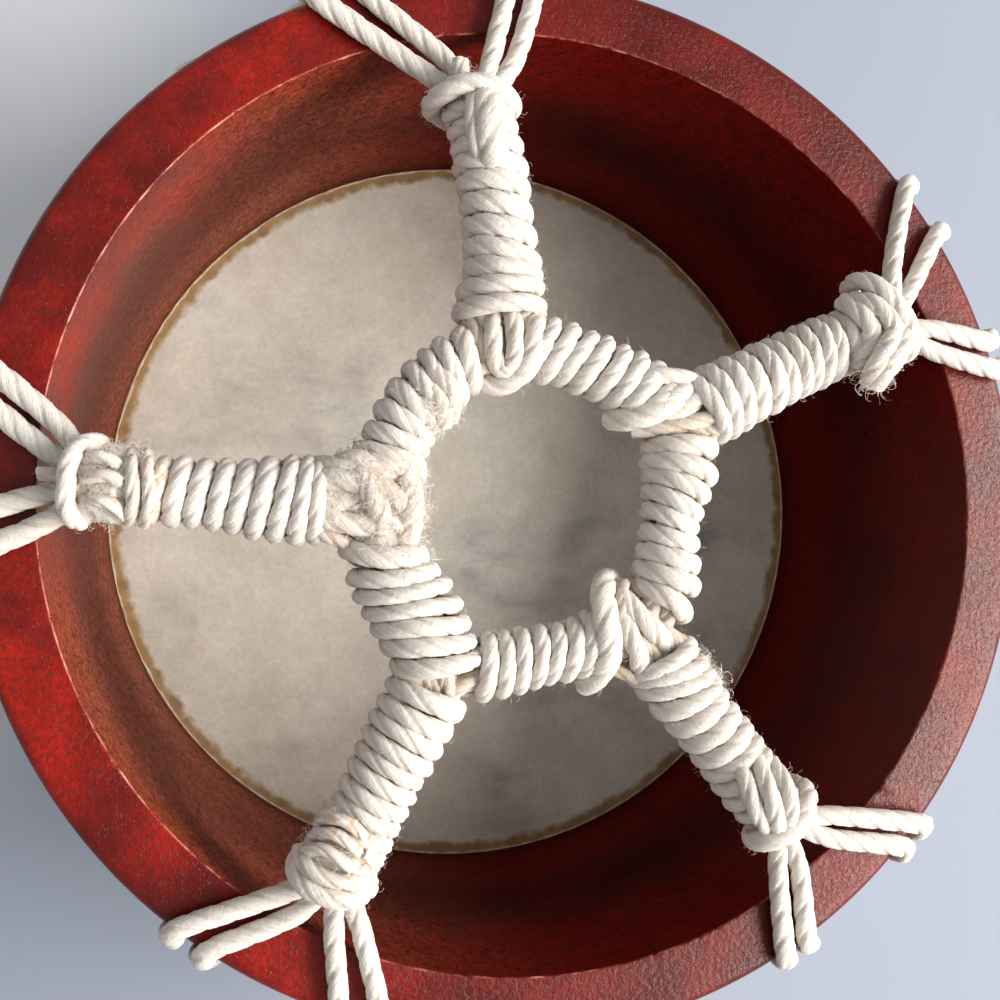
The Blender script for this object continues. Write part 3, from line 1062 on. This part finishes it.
# The strands that bridge each junction of leg and ring: how wide, how soiled, then x, y and height.
BRIDGES = {
    "top": [
        (0.94, 0.12, [(-8.6, 34.6, 3.2), (-7.7, 31.5, 4.7), (-7.5, 28, 4.9), (-7.6, 25.2, 4.5),
            (-9.2, 23.2, 3.6), (-10.9, 24.8, 3.9), (-11.3, 27.8, 4.3), (-11.3, 31, 3.9), (-11.2, 34, 2.6)]),
        (1.1, 0.08, [(-2.2, 34.2, -0.6), (-3.4, 31.6, 3.4), (-4, 28.5, 5), (-4.6, 25.6, 4.8),
            (-6.2, 22.6, 3.4), (-9.4, 20.8, 1.9), (-13, 21.4, 0.2), (-15.4, 23.4, -2.4)]),
        (0.8, 0.65, [(-15.2, 32.4, 1), (-13.9, 29.8, 2.5), (-12.9, 26.5, 2.3), (-11.6, 23.2, 1)]),
        (0.8, 0.65, [(-3.8, 34.4, 1.6), (-5.2, 31, 2.7), (-5.8, 28, 1.6), (-6.4, 25, 0.4)]),
    ],
    "right": [
        (0.9, 0.15, [(16.4, 22.4, 3.4), (19.5, 23, 4.6), (22.5, 22.9, 4.4), (25.5, 22.7, 3.6),
            (28.6, 22.4, 1.8)]),
        (1.2, 0.05, [(27.2, 22.6, 0.8), (24.6, 20.4, 4.2), (21.4, 17.8, 5.1), (18, 15.9, 4.5),
            (14.6, 15, 2.8), (11.8, 15.4, -0.4)]),
        (1.1, 0.1, [(31, 21.8, 1.2), (27.9, 19.6, 4), (25.4, 17.6, 4.2), (22.4, 15.9, 3.7),
            (18.6, 15, 2.6)]),
        (0.86, 0.55, [(35, 16.6, 1.2), (31.6, 16, 3.4), (28, 15, 4.2), (24, 14, 4.1), (20, 13.4, 3.3),
            (15.6, 13.2, 1.4)]),
        (0.8, 0.75, [(34.6, 15.6, 0.4), (32.4, 13.6, 1.4), (30.8, 12, 1.6), (29.2, 9.4, 1.2)]),
    ],
    "lower_right": [
        (1.3, 0.05, [(12.8, -15, -3.2), (10.6, -15.2, 0.6), (9.2, -17.4, 3.7), (9.2, -20.5, 5),
            (9.8, -24.5, 5.5), (9.8, -28.5, 4.9), (8.8, -32.2, 1.4), (7.6, -34, -2.4)]),
        (0.8, 0.6, [(13.8, -15.4, 0.8), (12.7, -18, 3.4), (12.4, -21.5, 3.9), (12.6, -25, 3.4),
            (13.2, -28.4, 2.4)]),
        (1.1, 0.18, [(12.6, -17.2, 2.6), (15, -20.2, 4.4), (17.6, -22.8, 4.7), (20.4, -25.4, 3.7),
            (22.6, -27.6, 1.4)]),
        (1.0, 0.1, [(12.8, -20.4, 3.4), (13.8, -24.4, 5), (15.4, -27.8, 4.9), (16.5, -30.8, 2.9),
            (17.2, -33, 0.4)]),
        (0.8, 0.5, [(15.4, -24.8, 2.8), (17.8, -26.8, 3.2), (19.8, -29, 2.2)]),
        (0.7, 0.85, [(8.6, -29.4, 0.4), (12, -31, 1.6), (15.2, -32.4, 2), (18.4, -34.2, 0.9)]),
    ],
    "lower_left": [
        (0.86, 0.35, [(-20.8, -27.6, 2.4), (-20, -30.6, 3.5), (-19.4, -33, 3.3), (-18.2, -36.2, 1.4)]),
        (0.8, 0.65, [(-24.8, -29.2, 2.2), (-23, -31.4, 3), (-21.6, -33, 2.7), (-20.2, -35.2, 1.2)]),
        (0.8, 0.45, [(-20.6, -35.8, 1), (-17.6, -33.6, 2.8), (-15.4, -32.2, 2.6), (-12.4, -30.6, 1.2)]),
    ],
    "left": [
        (0.8, 0.5, [(-43.8, -4.4, 2.2), (-40.2, -6.2, 3.2), (-37.4, -7.6, 2.6), (-34.8, -9.6, 1)]),
        (1.1, 0.1, [(-43.4, -0.8, 3.2), (-40.4, -3.2, 4.6), (-37.6, -4.2, 4.9), (-34, -4.6, 4.6),
            (-30.6, -4.2, 4.6), (-26.6, -5.4, 3.2)]),
        (1.2, 0.15, [(-43.4, 2.4, 3), (-39.5, 3.4, 4.8), (-36, 3, 5.5), (-32.4, 2.2, 5.6),
            (-28.6, 0.2, 5.2), (-24.8, -2.8, 2.8)]),
        (1.2, 0.08, [(-43.2, 5.2, 0.6), (-39, 5.2, 3.9), (-35.4, 6.2, 5.1), (-31.6, 5.4, 5.7),
            (-28, 5.4, 4.9), (-24.4, 4.4, 2.2)]),
        (1.1, 0.12, [(-31.2, -5.4, 4.4), (-31.8, -1.5, 6), (-33.4, 1.5, 6.1), (-34.6, 4.5, 5.3),
            (-38, 7.6, 2.4)]),
        (1.2, 0.05, [(-27, -7.4, 3.2), (-25.9, -2.8, 4.7), (-26.2, 1.2, 4.9), (-27, 4.8, 4.7),
            (-26.2, 8.8, 2.8)]),
    ],
    "upper_left_end": [
        (1.05, 0.2, [(-25, 21, 2.8), (-22.4, 18.8, 4.7), (-20.6, 16.2, 4.3), (-20.4, 13.4, 2.6)]),
        (1.0, 0.25, [(-22.6, 22.8, 3.8), (-19.9, 20.4, 5.1), (-18.6, 17.4, 3.9), (-18.8, 14.6, 1.6)]),
        (0.95, 0.3, [(-24, 17.6, 3.8), (-22.4, 15.6, 3.9), (-21.9, 13, 2.2)]),
    ],
}
# Where the cord has felted into lumps: radius, then the middle of the lump.
MATTED = {
    "junction": (6.1, [
        [(-45, -0.4, -0.2), (-41, -0.3, -0.2), (-36, 0.2, -0.4), (-32, 0.6, -0.6)],
        [(-30.6, -9, -0.4), (-31, -4, -0.2), (-30.7, 2, -0.2), (-29, 8.5, -0.4)]]),
    "knot_left": (6.6, [
        [(-80.8, 2.8, -0.8), (-78.6, 2.6, 0), (-76.2, 2.4, 0.2), (-73.4, 2, -0.2), (-70.4, 1.5, -1)]]),
    "knot_lower_left": (6.5, [
        [(-39.6, -66, -1), (-38.6, -63.6, -0.1), (-37.3, -60.8, 0.2), (-35.9, -57.8, -0.2),
            (-34.8, -55.4, -1)]]),
}
# How each leg is stained along its length.
STAINS = {
    "top": lambda s: 0.25 if 17.0 < s < 21.0 else 0.0,
    "left": lambda s: max(0.0, 1.0 - abs(s - 16.5) / 5.0),
    "lower_left": lambda s: max(0.0, 0.9 - abs(s - 14.0) / 6.0),
    "lower_right": lambda s: 0.25 if 20.0 < s < 25.0 else 0.0,
    "right": lambda s: 0.4 if 19.5 < s < 23.0 else 0.0,
}
# Where the cord has frayed: x, y, reach and how many times thicker the fibres stand there.
FRAYED = [
    (-28.0, 0.5, 12.0, 9.0), (-20.5, 14.0, 6.0, 12.0), (31.5, -32.0, 7.5, 14.0), (-0.6, 41.5, 4.0, 8.0),
    (-15.4, 78.0, 5.0, 12.0), (-85.0, 2.0, 5.0, 10.0), (-73.0, 2.0, 8.0, 5.0), (63.0, 21.5, 5.0, 22.0),
    (-36.0, -64.0, 7.0, 4.0)]
# Where it has gone woolly: the cord, then x, y and reach of the wool.
WOOL = [
    ("junction_strands_left", -29.0, 0.0, 12.0), ("matted_junction", -32.0, 1.0, 13.0),
    ("junction_strands_upper_left_end", -20.6, 15.0, 7.0), ("leg_whipping_lower_right", 32.4, -30.6, 6.0),
    ("tucked_end_right", 63.4, 22.6, 3.4), ("ring_whipping_d", -27.0, -8.0, 6.0),
    ("matted_knot_left", -76.0, 2.4, 8.0), ("matted_knot_lower_left", -37.5, -60.5, 7.0)]


def near(place, x, y, reach):
    """1 at a place x, y and 0 from its reach on."""
    return max(0.0, 1.0 - math.hypot(place.x - x, place.y - y) / reach)


def frayed(place):
    """How thick the fibres stand at a place."""
    return 1.0 + sum(more * near(place, x, y, reach) for x, y, reach, more in FRAYED)


COTTON_CORD = bleached_cotton_cord()
FIBRE_COTTON = loose_cotton_fibre()
LAID_CORD = cord_tree()
FIBRES = fibre_tree()
set_camera()
LINES = {name: CentreLine(stations) for name, stations in LEGS.items()}
SIDE_LINES = {name: CentreLine(row[2]) for name, row in SIDES.items()}

for number, (row, leg) in enumerate(zip(LACING, KNOT_OF_LOOP), start=1):
    make_lacing(number, row, leg)

cords = []
for number, (name, turns) in enumerate(LEG_TURNS.items()):
    strand = whipping(LINES[name], turns, STAINS[name], 20 + number)
    cords.append(make_cord(f"leg_whipping_{name}", [strand], EVEN, [f"leg_wrap_{name}"]))
    for kind, table, uneven in (("knot_collar", KNOT_BANDS, EVEN), ("tucked_end", TUCKED_ENDS, 0.12)):
        strands = [bridging(down_the_view(points), wide, soil, stain, LINES[name])
                   for wide, soil, stain, points in table[name]]
        uneven = FELTED.get(name, uneven) if table is TUCKED_ENDS else uneven
        cords.append(make_cord(f"{kind}_{name}", strands, uneven))
for name, rows in BRIDGES.items():
    strands = [bridging(points, wide, soil, 0.3 if name in FELTED else 0.0) for wide, soil, points in rows]
    cords.append(make_cord(f"junction_strands_{name}", strands, FELTED.get(name, 0.10)))
for name, (radius, rows) in MATTED.items():
    lumps = [bridging(points, 1.0, 0.08, 0.25) for points in rows]
    cords.append(make_cord(f"matted_{name}", lumps, 0.60, (), radius, groove=0.03, spacing=0.45, sides=72))
for number, (name, turns) in enumerate(SIDE_TURNS.items()):
    strand = whipping(SIDE_LINES[name], turns, seed=40 + number)
    cords.append(make_cord(f"ring_whipping_{name}", [strand], EVEN, ["hand_ring"]))
    cords.append(make_cord(f"ring_core_{name}", core_strands(name), EVEN))

for number, cord in enumerate(cords):
    make_fuzz(f"fibres_{cord.name}", cord, 130000.0, 1.5, 0.024, 100 + number, frayed)
for number, (name, x, y, reach) in enumerate(WOOL):
    make_fuzz(f"wool_{name}", bpy.data.objects[name], 1600000.0, 2.7, 0.044, 200 + number,
              lambda place: near(place, x, y, reach))

make_hoop()
make_head()
make_glue_line()
make_floor()
set_light()
